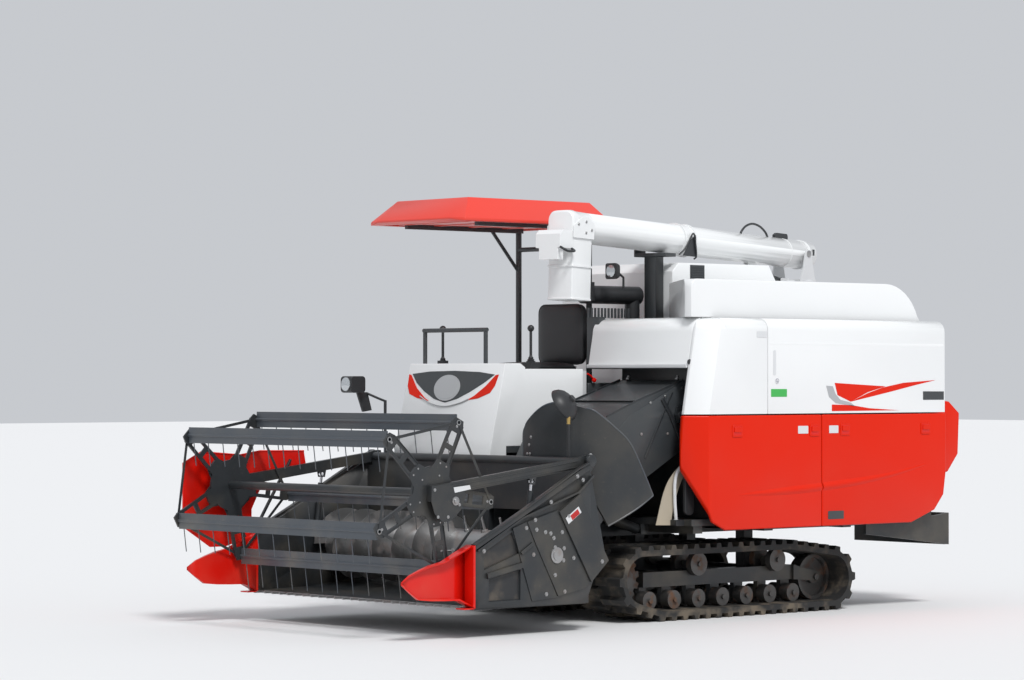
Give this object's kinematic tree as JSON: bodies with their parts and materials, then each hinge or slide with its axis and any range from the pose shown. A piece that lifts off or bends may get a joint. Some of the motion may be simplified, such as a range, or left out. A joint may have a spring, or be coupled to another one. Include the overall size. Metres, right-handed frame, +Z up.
{
  "type": "tracked rice combine harvester",
  "caption": "Tracked rice combine with a low cutting header, tined reel, covered thresher, grain tank and an unloading tube that swings and lifts",
  "frame": {"origin": "on the ground under the middle of the machine's overall box", "axes": "+X forward, +Y to the machine's left, +Z up"},
  "size_m": [5.1801, 2.186, 2.69],
  "materials": {
    "black_metal": "satin black paint",
    "black_plastic": "moulded black plastic",
    "blue_grey": "satin blue-grey paint",
    "canopy_red": "moulded red roof",
    "cast": "worn cast iron",
    "chrome": "hard chromed rod",
    "dark_grey": "satin dark grey paint",
    "deep_red": "gloss red paint",
    "pale_grey": "light grey paint",
    "red": "gloss orange-red paint on sheet steel",
    "rubber": "moulded black rubber",
    "steel": "worn bare steel",
    "vinyl": "black vinyl over foam",
    "white": "gloss white paint on sheet steel"
  },
  "bodies": {
    "root": {"chassis_frame": "black_metal", "deck_beams": "black_metal", "main_deck": "black_metal", "axle_beams": "black_metal", "transmission": "black_metal", "header_ram_mount": "black_metal", "track_left": "rubber", "track_right": "rubber", "track_frame_left": "black_metal", "track_frame_right": "black_metal", "running_gear_left": "cast", "running_gear_right": "cast", "thresher_body": "black_metal", "thresher_hump": "white", "upper_cover_front": "white", "lower_cover_front": "red", "lower_cover_rear": "red", "rear_cover": "red", "rear_skirt": "black_metal", "front_hood": "white", "grain_tank": "white", "engine_block": "cast", "engine_cover": "dark_grey", "radiator_screen": "black_metal", "operator_floor": "dark_grey", "console": "white", "seat": "vinyl", "handrail": "dark_grey", "control_levers": "black_plastic", "canopy": "canopy_red", "canopy_frame": "dark_grey", "air_intake": "black_plastic", "auger_holder": "dark_grey", "auger_tower": "pale_grey"},
    "side_door": {"side_door": "white"},
    "header": {"feeder_house": "black_metal", "header_frame": "black_metal", "header_sides": "black_metal", "dividers": "deep_red", "cutter_bar": "steel", "crop_shield": "black_metal", "work_lamps": "black_plastic", "header_pins": "black_metal"},
    "header_auger": {"header_auger": "steel"},
    "reel_arms": {"reel_arms": "black_metal"},
    "reel": {"reel_frame": "black_metal"},
    "slat_1": {"reel_slat_1": "blue_grey"},
    "slat_2": {"reel_slat_2": "blue_grey"},
    "slat_3": {"reel_slat_3": "blue_grey"},
    "slat_4": {"reel_slat_4": "blue_grey"},
    "slat_5": {"reel_slat_5": "blue_grey"},
    "turret": {"auger_turret": "pale_grey"},
    "unloading_tube": {"auger_tube": "white", "auger_spout": "white"},
    "header_barrel": {"header_barrel": "black_metal"},
    "header_rod": {"header_rod": "chrome"},
    "reel_barrels": {"reel_barrels": "black_metal"},
    "reel_rods": {"reel_rods": "chrome"},
    "auger_barrel": {"auger_barrel": "black_metal"},
    "auger_rod": {"auger_rod": "chrome"}
  },
  "joints": [
    {"name": "header_lift", "type": "hinge", "parent": "root", "child": "header", "pos_m": [-0.08, 0.45, 1.3], "axis": [0, -1, 0], "range_deg": [-4.5, 20]},
    {"name": "header_ram_tilt", "type": "hinge", "parent": "root", "child": "header_barrel", "pos_m": [-0.018, 0.45, 0.56], "axis": [0, -1, 0], "range_deg": [-3.8, 13.4]},
    {"name": "header_ram_slide", "type": "slide", "parent": "header_barrel", "child": "header_rod", "axis": [0.9521, 0, 0.3059], "range_m": [-0.0589, 0.248]},
    {"name": "header_auger_spin", "type": "hinge", "parent": "header", "child": "header_auger", "pos_m": [1.265, 0, 0.47], "axis": [0, 1, 0], "continuous": true},
    {"name": "reel_lift", "type": "hinge", "parent": "header", "child": "reel_arms", "pos_m": [0.96, 0, 1.03], "axis": [0, -1, 0], "range_deg": [-2, 22]},
    {"name": "reel_ram_tilt", "type": "hinge", "parent": "header", "child": "reel_barrels", "pos_m": [1.45, 0, 0.56], "axis": [0, -1, 0], "range_deg": [-4.2, 1.3]},
    {"name": "reel_ram_slide", "type": "slide", "parent": "reel_barrels", "child": "reel_rods", "axis": [-0.112, 0, 0.9937], "range_m": [-0.02, 0.1795]},
    {"name": "reel_spin", "type": "hinge", "parent": "reel_arms", "child": "reel", "pos_m": [2.16, 0, 0.861], "axis": [0, 1, 0], "continuous": true},
    {"name": "slat_1_turn", "type": "hinge", "parent": "reel", "child": "slat_1", "pos_m": [2.4873, 0, 1.17707], "axis": [0, 1, 0], "continuous": true},
    {"name": "slat_2_turn", "type": "hinge", "parent": "reel", "child": "slat_2", "pos_m": [1.96054, 0, 1.26995], "axis": [0, 1, 0], "continuous": true},
    {"name": "slat_3_turn", "type": "hinge", "parent": "reel", "child": "slat_3", "pos_m": [1.70943, 0, 0.79768], "axis": [0, 1, 0], "continuous": true},
    {"name": "slat_4_turn", "type": "hinge", "parent": "reel", "child": "slat_4", "pos_m": [2.08099, 0, 0.41291], "axis": [0, 1, 0], "continuous": true},
    {"name": "slat_5_turn", "type": "hinge", "parent": "reel", "child": "slat_5", "pos_m": [2.56174, 0, 0.64739], "axis": [0, 1, 0], "continuous": true},
    {"name": "auger_swing", "type": "hinge", "parent": "root", "child": "turret", "pos_m": [-2.31, -0.37, 2.16], "axis": [0, 0, 1], "range_deg": [0, 105]},
    {"name": "auger_lift", "type": "hinge", "parent": "turret", "child": "unloading_tube", "pos_m": [-2.31, -0.37, 2.405], "axis": [0.1736, -0.9848, 0], "range_deg": [0, 35.01]},
    {"name": "auger_ram_tilt", "type": "hinge", "parent": "turret", "child": "auger_barrel", "pos_m": [-2.13273, -0.33874, 2.215], "axis": [0.1736, -0.9848, 0], "range_deg": [-1, 40.9]},
    {"name": "auger_ram_slide", "type": "slide", "parent": "auger_barrel", "child": "auger_rod", "axis": [0.9714, 0.1713, 0.1644], "range_m": [-0.004, 0.1569]},
    {"name": "side_door_swing", "type": "hinge", "parent": "root", "child": "side_door", "pos_m": [-2.33, 0.967, 1.6], "axis": [0, 0, 1], "range_deg": [0, 100]}
  ],
  "couplings": [
    {"joint": "header_ram_tilt", "follows": "header_lift", "ratio": 0.6222},
    {"joint": "header_ram_slide", "follows": "header_lift", "m_per_rad": 0.69906},
    {"joint": "reel_ram_tilt", "follows": "reel_lift", "ratio": -0.147},
    {"joint": "reel_ram_slide", "follows": "reel_lift", "m_per_rad": 0.45714},
    {"joint": "slat_1_turn", "follows": "reel_spin", "ratio": -1},
    {"joint": "slat_2_turn", "follows": "reel_spin", "ratio": -1},
    {"joint": "slat_3_turn", "follows": "reel_spin", "ratio": -1},
    {"joint": "slat_4_turn", "follows": "reel_spin", "ratio": -1},
    {"joint": "slat_5_turn", "follows": "reel_spin", "ratio": -1},
    {"joint": "auger_lift", "follows": "auger_swing", "ratio": 0.33333},
    {"joint": "auger_ram_tilt", "follows": "auger_swing", "ratio": 0.38047},
    {"joint": "auger_ram_slide", "follows": "auger_swing", "m_per_rad": 0.083413}
  ]
}
